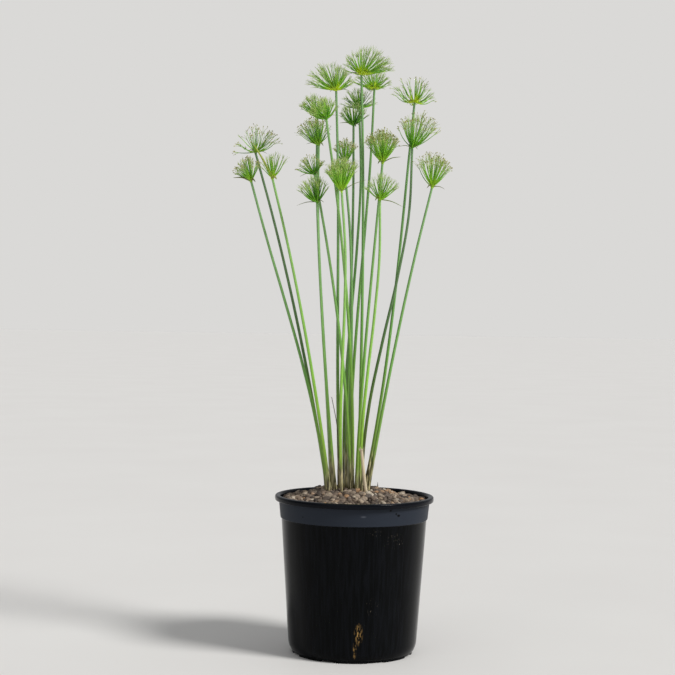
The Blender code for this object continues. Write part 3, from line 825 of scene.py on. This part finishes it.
# %% [markdown]
# A few dark crumbs of bark lie on the stones by the back of the rim, and a sliver of it stands up
# behind the stems. The crumbs are grown by the pebble tree, and the sliver is swept like a stem.

# %% Bark crumbs
CRUMB_PLACES = ((-46, 74, 197.5), (-50, 71, 196), (-41, 76, 195.8))
SLIVER = ((30, 60, 192), (30.4, 60, 199), (30, 60, 207))
SLIVER_WIDTHS = (1.9, 1.5, 0.3)
CRUMB_SIZES = (3.6 * MM, 4.8 * MM)

bark = two_toned("dark_bark", "15100B", "3B2E23", size=CRUMB, **crumbly)
crumbs = guide_object("bark crumbs", [np.array(CRUMB_PLACES) * MM], edges_between=False)
sliver = guide_object("bark sliver", [np.array(SLIVER) * MM], width=[np.array(SLIVER_WIDTHS) * MM])
bark_mesh = joined_mesh("bark", [
    grown_mesh(crumbs, pebble_tree, Smallest=CRUMB_SIZES[0], Largest=CRUMB_SIZES[1],
               Scatter=False, Finish=bark),
    grown_mesh(sliver, sweep_tree, Flatness=0.6, Finish=bark),
])
place_piece("bark_crumbs", bark_mesh, "gravel")
print("bark:", triangles(bark_mesh), "triangles")

# %% [markdown]
# ## Stems
#
# A papyrus stem, or culm, has no leaves along it. It is waxy, bluntly three-cornered and finely
# ribbed, and old brown sheaths wrap its foot; their dark brown is partly painted shade and their
# cream streaks are partly painted highlights. The sweep tree draws it along the smoothed path.
# Each stem has its own green, from dark through bluish to yellow, so a number for that is stored
# on it. The dark end is partly painted shade: it darkens stems 10 and 19, which stand in shade
# behind the others, and deepens the shaded sides of the darker stems.

# %% Culm finish
RIB_PITCH = 0.55 * MM
RIB_LENGTH = 30 * MM
STREAK = 2.0 * MM
STREAK_LENGTH = 26 * MM
BLOTCH = 14 * MM

culm_finish, tree, shader = finish_of("waxy_papyrus_culm", 0.3, ior=1.5)
place = add(tree, "ShaderNodeTexCoord").outputs["Object"]
own, along, brown = (add(tree, "ShaderNodeAttribute", attribute_name=name).outputs["Fac"]
                     for name in ("tone", "along", "sheath"))
ribs, streaks, blotches = (
    add(tree, "ShaderNodeTexNoise", {
        "Vector": add(tree, "ShaderNodeMapping", {0: place, 3: (1, 1, stretch)}),
        "Scale": 1 / size, "Detail": detail})
    for size, stretch, detail in ((RIB_PITCH, RIB_PITCH / RIB_LENGTH, 3.0),
                                  (STREAK, STREAK / STREAK_LENGTH, 2.0), (BLOTCH, 1, 3.0)))

# Each row names the value read, the two numbers it is read between and what they turn into
shade_to_mid_green, bright_half, low, high, ribbed, cream_streaks_and_highlights, patchy = (
    add(tree, "ShaderNodeMapRange", {0: value, 1: start, 2: end, 3: first, 4: last})
    for value, start, end, first, last in (
        (own, 0.0, 0.5, 0.0, 1.0), (own, 0.5, 1.0, 0.0, 1.0), (along, 0.12, 0.42, 0.5, 0.0),
        (along, 0.35, 1.0, 0.0, 0.5), (ribs, 0.3, 0.7, 0.78, 1.2), (streaks, 0.42, 0.58, 0.0, 1.0),
        (blotches, 0.4, 0.6, 0.0, 0.4)))
# The dark end of the stem green, 26381A, is partly painted shade: low stem values darken stems in shade and
# their shaded sides.
green, dry = linear("26381A"), linear("2A1E0E")
for share, code in ((shade_to_mid_green, "6AA048"), (bright_half, "92CC3E"), (low, "7E8A1C"), (high, "93B488")):
    green = add(tree, "ShaderNodeMix", {0: share, 6: green, 7: linear(code)},
                data_type="RGBA").outputs[2]
# Dried sheath: the dark brown ground, 2A1E0E, is partly painted shade, and the cream streaks, CBC092, are
# partly pale fibres and partly painted highlights.
for share, code in ((cream_streaks_and_highlights, "CBC092"), (patchy, "5C5A22")):
    dry = add(tree, "ShaderNodeMix", {0: share, 6: dry, 7: linear(code)}, data_type="RGBA").outputs[2]
green = add(tree, "ShaderNodeVectorMath", {0: green, "Scale": ribbed}, operation="SCALE")
colour = add(tree, "ShaderNodeMix", {0: brown, 6: green, 7: dry}, data_type="RGBA").outputs[2]
tree.links.new(colour, shader.inputs["Base Color"])
relief = add(tree, "ShaderNodeBump", {"Strength": 0.3, "Distance": 0.15 * MM, "Height": ribs})
tree.links.new(relief.outputs[0], shader.inputs["Normal"])
print("ribs every", RIB_PITCH / MM, "mm")

# %% Culms swept along their paths
CULM_POINTS = 56
CULM_SIDES = 12
SHEATH_SHARE = 0.128
SHEATH_FADE = 0.048
SHEATH_TIP = (0.6, 1.35)
TIP_POINTS = 7
# Green of each stem; low values such as 10 and 19 are painted shade on stems behind the others.
STEM_GREEN_AND_SHADE = {"01": 0.52, "02": 0.42, "03": 0.56, "04": 0.5, "05": 0.5, "06": 0.72, "07": 0.5, "08": 0.4,
         "09": 0.56, "10": 0.14, "11": 0.5, "12": 0.84, "13": 0.6, "14": 0.58, "15": 0.85, "16": 0.44,
         "17": 0.62, "18": 0.92, "19": 0.18, "20": 0.54}


def culm_guides(number):
    """Guide line of a stem and of the pointed top of its sheath, with the values they carry."""
    points, radii = stems[number]
    path = smooth_line(points, CULM_POINTS)
    share = np.linspace(0, 1, CULM_POINTS)
    knots = np.r_[0, np.cumsum(np.linalg.norm(np.diff(points, axis=0), axis=1))]
    width = np.interp(share, knots / knots[-1], radii)
    reach = SHEATH_SHARE * (0.85 + 0.5 * math.sin(3.7 * int(number)) ** 2)
    dry = np.clip((reach - share) / SHEATH_FADE, 0, 1)
    angle = 7 * STEM_GREEN_AND_SHADE[number] + int(number)
    side = np.array([math.cos(angle), math.sin(angle), 0])
    tip_share = np.linspace(SHEATH_TIP[0] * SHEATH_SHARE, SHEATH_TIP[1] * SHEATH_SHARE, TIP_POINTS)
    tip = np.array([np.interp(tip_share, share, path[:, axis]) for axis in range(3)]).T
    tip = tip + np.interp(tip_share, share, width)[:, None] * side * 0.75
    return path, width, dry, share, tip


for number in sorted(stems):
    path, width, dry, share, tip = culm_guides(number)
    taper = np.linspace(1.2, 0.15, TIP_POINTS) * MM
    guide = guide_object("culm guide", [path, tip], width=[width, taper],
                         tone=[np.full(CULM_POINTS + TIP_POINTS, STEM_GREEN_AND_SHADE[number])],
                         along=[share, np.zeros(TIP_POINTS)],
                         sheath=[dry, np.linspace(0.9, 0.5, TIP_POINTS)])
    mesh = grown_mesh(guide, sweep_tree, Sides=CULM_SIDES, Corners=0.07, Finish=culm_finish)
    place_piece("waxy_culm_" + number, mesh, "culm", "culm_" + number)
print("last stem:", triangles(mesh), "triangles")

# %% [markdown]
# ## Dry stub and dry leaf
#
# One dead stem was cut off near the gravel and has bleached to straw, and one old sheath blade
# stands off the clump, almost black. Both are swept like the stems. Frayed fibres at the cut end
# of the stub are short guide lines of their own.

# %% Dry pieces
FIBRE = 0.6 * MM
FIBRE_DEPTH = 0.2 * MM
DRY_POINTS = 20
FRAY_WIDTHS = (0.4, 0.3, 0.1)
FRAY_LENGTHS = (2.0, 4.5)
rng = np.random.default_rng(4)


def dry_piece(name, node, finish, fibres, flatness, swelling):
    """Sweep along a packed bar, with frayed fibres at its upper end."""
    points, radii = bar_path(node)
    radii = radii * swelling
    path = smooth_line(points, DRY_POINTS)
    width = np.interp(np.linspace(0, 1, DRY_POINTS), np.linspace(0, 1, len(radii)), radii)
    chains, widths = [path], [width]
    heading = (path[-1] - path[-2]) / np.linalg.norm(path[-1] - path[-2])
    for _ in range(fibres):
        away = rng.normal(0, 1, 3) * 0.6 * radii[-1]
        start = path[-1] + away - heading * 1.5 * MM
        end = start + heading * rng.uniform(*FRAY_LENGTHS) * MM + away * 0.5
        chains.append(np.array([start, 0.5 * (start + end) + away * 0.1, end]))
        widths.append(np.array(FRAY_WIDTHS) * MM)
    guide = guide_object(name, chains, width=widths)
    mesh = grown_mesh(guide, sweep_tree, Sides=10, Flatness=flatness, Finish=finish)
    place_piece(name, mesh, node, node)
    return triangles(mesh)


fibrous = dict(size=FIBRE, detail=4.0, stretch=0.06, strength=0.5, depth=FIBRE_DEPTH / FIBRE)
straw = two_toned("bleached_straw", "B8A078", "EDE3C8", 0.7, **fibrous)
withered = two_toned("withered_sheath", "241A13", "4B3A2C", 0.75, **fibrous)
print("stub:", dry_piece("bleached_stub", "dry_stub", straw, 7, 1.0, 1.25), "triangles")
print("leaf:", dry_piece("withered_leaf", "dry_leaf", withered, 0, 0.55, 1.1), "triangles")

# %% [markdown]
# ## Reading the tufts from the solids
#
# A packed tuft is a knob with twenty thick rays and three bracts. Each of their ends is a small
# triangle: a ray's is about half as large as the bend of a bract, and the tip of a bract is the
# smallest. Sorting the triangles by size therefore tells where rays and bracts have to reach.

# %% Ray and bract ends
HUB_LIFT = 2.0 * MM
NEAR_HUB = 3.8 * MM
BEND_SIZE, TIP_SIZE = 0.85 * MM, 0.48 * MM


def end_triangles(node, hub):
    """Middle and size of every small triangle that lies away from the hub."""
    corners = own_points(node)
    left = list(corners[np.linalg.norm(corners - hub, axis=1) > NEAR_HUB])
    found = []
    while left:
        group = [left.pop()]
        for _ in range(2):
            gaps = [np.linalg.norm(point - group[0]) for point in left]
            group.append(left.pop(int(np.argmin(gaps))))
        middle = np.mean(group, axis=0)
        found.append((middle, np.linalg.norm(group - middle, axis=1).mean()))
    return found


def read_tuft(number):
    """Hub, direction, ray ends and bract paths of one tuft."""
    path, _ = stems[number]
    axis = (path[-1] - path[-2]) / np.linalg.norm(path[-1] - path[-2])
    hub = path[-1] + axis * HUB_LIFT
    ends = end_triangles("umbel_" + number, hub)
    rays = np.array([place for place, size in ends if TIP_SIZE < size < BEND_SIZE])
    bends = [place for place, size in ends if size >= BEND_SIZE]
    tips = [place for place, size in ends if size <= TIP_SIZE]
    bracts = []
    for bend in bends:
        outward = (bend - hub) / np.linalg.norm(bend - hub)
        match = max(tips, key=lambda tip: outward @ (tip - hub) / np.linalg.norm(tip - hub))
        bracts.append(np.array([hub, bend, match]))
    return hub, axis, rays, bracts


tufts = {number: read_tuft(number) for number in sorted(stems)}
print("rays read per tuft:", sorted({len(rays) for _, _, rays, _ in tufts.values()}),
      "bracts:", sorted({len(bracts) for _, _, _, bracts in tufts.values()}))

# %% [markdown]
# ## Tufts: rays
#
# A real tuft has thirty to over a hundred rays. They leave the hub almost sideways, bend upwards
# like the ribs of a bowl and split at the end into a few short forks. The ends that the solid has
# lie on a dome, and the other rays are spread over the same dome, so the tuft keeps its outline.
# Each ray is a guide line that gets thinner, and the sweep tree gives it a body.

# %% Ray guides
tuft_values = dict(
    rays={"01": 110, "02": 100, "03": 74, "04": 52, "05": 76, "06": 84, "07": 64, "08": 60, "09": 60,
          "10": 34, "11": 50, "12": 30, "13": 42, "14": 58, "15": 112, "16": 50, "17": 104, "18": 52,
          "19": 56, "20": 62},
    bowl={"04": 0.22, "19": 0.08, "03": 0.1, "10": 0.06},
    bloom={"09": 0.5, "10": 0.8, "11": 0.5, "13": 0.25, "16": 0.5, "17": 0.6, "19": 0.5, "20": 0.55,
           "04": 0.12, "05": 0.08, "15": 0.08},
    yellow={"01": 1.0, "02": 1.0, "03": 1.0, "04": 1.0, "12": 0.5, "15": 0.35, "17": 0.4, "20": 0.4,
            "11": 0.3, "10": 0.3, "09": 0.2, "18": 0.3, "05": 0.25},
    green={"01": 0.55, "02": 0.45, "03": 0.6, "04": 0.45, "05": 0.55, "06": 0.6, "07": 0.45,
           "08": 0.2, "09": 0.5, "10": 0.45, "11": 0.55, "12": 0.6, "13": 0.3, "14": 0.45,
           "15": 0.85, "16": 0.4, "17": 0.65, "18": 0.5, "19": 0.55, "20": 0.65},
)
RAY_POINTS = 7
RAY_WIDTHS = ([0, 0.15, 0.4, 1], [0.85 * MM, 0.62 * MM, 0.54 * MM, 0.37 * MM])
FORK_WIDTH = (0.27 * MM, 0.1 * MM)
FORK_START = 0.8
FORKS = (3, 5)
FORK_LENGTHS = (0.7, 1.05)
FORK_SPREADS = (0.2, 0.5)
STALK_SHARES = (0.66, 0.82)
ARCHES = (0.02, 0.2)
RAY_LENGTH_SHARES = (0.88, 1.06)


def ray_reach(rays, hub, axis, count, rng):
    """Reach of every ray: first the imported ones, then others spread over the dome they form."""
    packed = rays - hub
    heights = packed @ axis
    sideways = packed - heights[:, None] * axis
    middle = sideways.mean(axis=0)
    half_width = np.linalg.norm(sideways - middle, axis=1).max()
    lowest = np.clip(heights.min() / heights.max(), 0.05, 0.95)
    spread = math.acos(lowest)
    east = np.cross(axis, (0.0, 1.0, 0.0))
    north = np.cross(axis, east)
    reaches = list(packed)
    while len(reaches) < count:
        polar = math.acos(1 - (1 - lowest) * rng.random())
        turn = rng.uniform(0, math.tau)
        out = half_width * math.sin(polar) / math.sin(spread)
        reach = (middle + out * (math.cos(turn) * east + math.sin(turn) * north)
                 + heights.max() * math.cos(polar) * axis)
        reaches.append(reach * rng.uniform(*RAY_LENGTH_SHARES))
    return reaches


def arched(start, reach, axis, points, arch):
    """Bowl-shaped line from start to start + reach."""
    length = np.linalg.norm(reach)
    outward = reach / length * (reach @ axis / length) - axis
    bend = 0.5 * reach + outward * arch * length
    t = np.linspace(0, 1, points)[:, None]
    return start + 2 * t * (1 - t) * bend + t ** 2 * reach


def tuft_guides(number, rng):
    """All lines of one tuft, with their widths and shares of length, and the fork ends."""
    hub, axis, rays, _ = tufts[number]
    lines, widths, alongs, ends = [], [], [], []
    bowl = tuft_values["bowl"].get(number, 0.0)
    for reach in ray_reach(rays, hub, axis, tuft_values["rays"][number], rng):
        stalk = arched(hub - axis * 0.6 * MM, reach * rng.uniform(*STALK_SHARES), axis, RAY_POINTS,
                       bowl + rng.uniform(*ARCHES))
        lines.append(stalk)
        widths.append(np.interp(np.linspace(0, 1, RAY_POINTS), *RAY_WIDTHS))
        alongs.append(np.linspace(0, FORK_START, RAY_POINTS))
        heading = stalk[-1] - stalk[-2]
        heading /= np.linalg.norm(heading)
        goal = hub + reach - stalk[-1]
        side = np.cross(heading, rng.normal(0, 1, 3))
        side /= np.linalg.norm(side)
        other = np.cross(heading, side)
        forks = rng.integers(*FORKS)
        for fork in range(forks):
            angle = math.tau * fork / forks + rng.uniform(-0.4, 0.4)
            spread = (math.cos(angle) * side + math.sin(angle) * other) * np.linalg.norm(goal)
            end = (stalk[-1] + goal * rng.uniform(*FORK_LENGTHS)
                   + spread * rng.uniform(*FORK_SPREADS) * (fork > 0))
            middle = stalk[-1] + 0.5 * (end - stalk[-1]) + heading * 0.12 * np.linalg.norm(goal)
            lines.append(np.array([stalk[-1], middle, end]))
            widths.append(np.linspace(*FORK_WIDTH, 3))
            alongs.append(np.linspace(FORK_START, 1, 3))
            ends.append((end, (end - middle) / np.linalg.norm(end - middle)))
    return lines, widths, alongs, ends


print("rays in all:", sum(tuft_values["rays"].values()))

# %% [markdown]
# ## Tufts: colour
#
# Rays are thin enough for light to pass through, which makes them a clear green. Towards the hub
# many tufts turn yellow, and the forks end paler and a little brown. The shader reads how far
# along its ray a point lies, how yellow its tuft is and how warm its green.

# %% Ray, bract and spikelet finishes
VEIN_PITCH = 0.8 * MM

ray_finish, tree, shader = finish_of("translucent_papyrus_ray", 0.5, Subsurface_Weight=0.12,
                                     Subsurface_Radius=(0.5, 1.0, 0.2), Subsurface_Scale=0.5 * MM)
along, warm, ripe = (add(tree, "ShaderNodeAttribute", attribute_name=name).outputs["Fac"]
                     for name in ("along", "tone", "ripe"))
inner, outer = (
    add(tree, "ShaderNodeMix", {0: warm, 6: linear(cool_code), 7: linear(warm_code)},
        data_type="RGBA").outputs[2]
    for cool_code, warm_code in (("33760A", "92DA26"), ("588A2C", "B6DA62")))
outward, near, far = (
    add(tree, "ShaderNodeMapRange", {0: along, 1: start, 2: end, 3: first, 4: last})
    for start, end, first, last in ((0.4, 0.95, 0.0, 1.0), (0.2, 0.48, 1.0, 0.0), (0.75, 1.0, 0.0, 0.7)))
yellow = add(tree, "ShaderNodeMath", {0: near, 1: ripe}, operation="MULTIPLY")
colour = inner
for share, over in ((outward, outer), (yellow, linear("CBE428")), (far, linear("C3C98C"))):
    colour = add(tree, "ShaderNodeMix", {0: share, 6: colour, 7: over}, data_type="RGBA").outputs[2]
tree.links.new(colour, shader.inputs["Base Color"])

bract_finish, tree, shader = finish_of("papyrus_bract_blade", 0.45)
place = add(tree, "ShaderNodeTexCoord").outputs["Object"]
warm, withering = (add(tree, "ShaderNodeAttribute", attribute_name=name).outputs["Fac"]
                   for name in ("tone", "sheath"))
veins = add(tree, "ShaderNodeTexNoise",
            {"Vector": place, "Scale": 1 / VEIN_PITCH, "Detail": 2.0})
veined = add(tree, "ShaderNodeMapRange", {0: veins, 3: 0.75, 4: 1.2})
colour = linear("3F5C2C")
for share, code in ((warm, "A9B83A"), (withering, "553A20")):
    colour = add(tree, "ShaderNodeMix", {0: share, 6: colour, 7: linear(code)},
                 data_type="RGBA").outputs[2]
colour = add(tree, "ShaderNodeVectorMath", {0: colour, "Scale": veined}, operation="SCALE").outputs[0]
tree.links.new(colour, shader.inputs["Base Color"])

husk_finish, tree, shader = finish_of("papery_spikelet_husk", 0.65)
own = add(tree, "ShaderNodeAttribute", attribute_name="tone").outputs["Fac"]
colour = add(tree, "ShaderNodeMix", {0: own, 6: linear("7C7836"), 7: linear("C2C074")},
             data_type="RGBA").outputs[2]
tree.links.new(colour, shader.inputs["Base Color"])
print("tuft finishes:", ray_finish.name, bract_finish.name, husk_finish.name)

# %% [markdown]
# ## Tufts: spikelets
#
# Flowering tufts carry small scaly spikelets on their fork ends. They are rice-shaped, about two
# millimetres long, and there are hundreds, so each is a coarse ball that the tree stretches and
# aims along its fork.

# %% Spikelet tree
husk_tree, given = open_tree("spikelets", [
    ("Length", "NodeSocketFloat", 1.15 * MM),
    ("Seed", "NodeSocketInt", 1),
    ("Finish", "NodeSocketMaterial", None),
])
cloud = add(husk_tree, "GeometryNodeMeshToPoints", {0: given["Geometry"]})
aim = add(husk_tree, "GeometryNodeInputNamedAttribute", {"Name": "aim"}, data_type="FLOAT_VECTOR")
turned = add(husk_tree, "FunctionNodeAlignRotationToVector", {"Vector": aim}, axis="Z")
grain = add(husk_tree, "GeometryNodeMeshIcoSphere", {"Radius": 1.0, "Subdivisions": 1})
slim = add(husk_tree, "GeometryNodeTransform", {0: grain, "Scale": (0.42, 0.34, 1.0)})
length = add(husk_tree, "FunctionNodeRandomValue", {2: 0.6, 3: 1.15, "Seed": given["Seed"]},
             data_type="FLOAT")
scaled = add(husk_tree, "ShaderNodeMath", {0: length.outputs[1], 1: given["Length"]},
             operation="MULTIPLY")
husks = add(husk_tree, "GeometryNodeInstanceOnPoints",
            {"Points": cloud, "Instance": slim, "Rotation": turned, "Scale": scaled})
rounded_husks = add(husk_tree, "GeometryNodeSetShadeSmooth", {0: husks})
close_tree(husk_tree, rounded_husks, given["Finish"])
print("spikelet tree:", len(husk_tree.nodes), "nodes")

# %% Tufts grown
SPIKELETS_PER_FORK = 2
BRACT_POINTS = 12
BRACT_WIDTH = {"12": 1.9 * MM, "11": 1.7 * MM, "08": 1.5 * MM, "17": 1.5 * MM, "18": 1.4 * MM}
COMMON_BRACT_WIDTH = 1.1 * MM
BRACT_FLATNESS = {"12": 0.95, "11": 0.7}
WITHERED = {"01": 0.6, "04": 0.9, "11": 0.4, "20": 0.5, "14": 0.3}
RAY_TONE_SPREAD = 0.3
AIM_SPREAD = 0.55
KNOB_HEIGHTS = (-2.4, -1.2, 0.0, 1.2, 2.0)
KNOB_RADII = (1.45, 1.75, 2.2, 1.7, 0.6)


def spikelets(number, ends, rng):
    """Places, aims and tones of the spikelets of one tuft, or nothing where none has opened."""
    share = tuft_values["bloom"].get(number, 0.0)
    places, aims, tones = [], [], []
    for end, heading in ends:
        if rng.random() > share:
            continue
        for _ in range(SPIKELETS_PER_FORK):
            aim = heading + rng.normal(0, AIM_SPREAD, 3)
            aim /= np.linalg.norm(aim)
            places.append(end + aim * MM - heading * rng.uniform(0, 2.2) * MM)
            aims.append(aim)
            tones.append(rng.random())
    return np.array(places), np.array(aims), np.array(tones)


def bract_blades(number):
    """Guide lines and widths of the bracts, which taper to a point."""
    bracts = tufts[number][3]
    share = np.linspace(0, 1, BRACT_POINTS)
    broad = BRACT_WIDTH.get(number, COMMON_BRACT_WIDTH)
    taper = broad * np.sqrt(np.clip(1 - share, 0.01, 1)) * np.interp(share, [0, 0.2], [0.75, 1])
    return [smooth_line(path, BRACT_POINTS) for path in bracts], [taper] * len(bracts)


def knob(number):
    """Short swelling that joins the stem's end to the rays."""
    hub, axis, _, _ = tufts[number]
    return hub + np.outer(KNOB_HEIGHTS, axis) * MM, np.array(KNOB_RADII) * MM


total = 0
for number in sorted(tufts):
    rng = np.random.default_rng(100 + int(number))
    lines, widths, alongs, ends = tuft_guides(number, rng)
    middle, swell = knob(number)
    lines.append(middle)
    widths.append(swell)
    alongs.append(np.zeros(len(middle)))
    green, ripe = tuft_values["green"][number], tuft_values["yellow"].get(number, 0.0)
    tones = [np.full(len(line), np.clip(green + rng.normal(0, RAY_TONE_SPREAD), 0, 1))
             for line in lines]
    guide = guide_object("ray guides", lines, width=widths, along=alongs, tone=tones,
                         ripe=[np.full(len(line), ripe) for line in lines])
    meshes = [grown_mesh(guide, sweep_tree, Sides=4, Finish=ray_finish)]
    blades, tapers = bract_blades(number)
    guide = guide_object("bract guides", blades, width=tapers,
                         tone=[np.full(BRACT_POINTS, 0.9 if number == "12" else 0.35)] * len(blades),
                         sheath=[np.full(BRACT_POINTS, WITHERED.get(number, 0.1))] * len(blades))
    meshes.append(grown_mesh(guide, sweep_tree, Sides=8, Level=True,
                             Flatness=BRACT_FLATNESS.get(number, 0.5), Finish=bract_finish))
    places, aims, husk_tones = spikelets(number, ends, rng)
    if len(places):
        guide = guide_object("spikelet guides", [places], edges_between=False, aim=[aims],
                             tone=[husk_tones])
        meshes.append(grown_mesh(guide, husk_tree, Finish=husk_finish))
    mesh = joined_mesh("tuft", meshes)
    place_piece("papyrus_tuft_" + number, mesh, "umbel", "umbel_" + number)
    total += triangles(mesh)
print("tufts:", total, "triangles")

# %% [markdown]
# ## Sizes
#
# The dressed plant has to stay the size of its solids, so both boxes are measured and how far
# each side has grown is printed.

# %% Sizes
boxes = {"cad": [list(corner) for corner in cad_box], "visual": [list(corner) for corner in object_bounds()]}
print("grown by (mm):", [round((seen - made) / MM, 1) for pair in zip(boxes["visual"], boxes["cad"])
                         for seen, made in zip(*pair)])
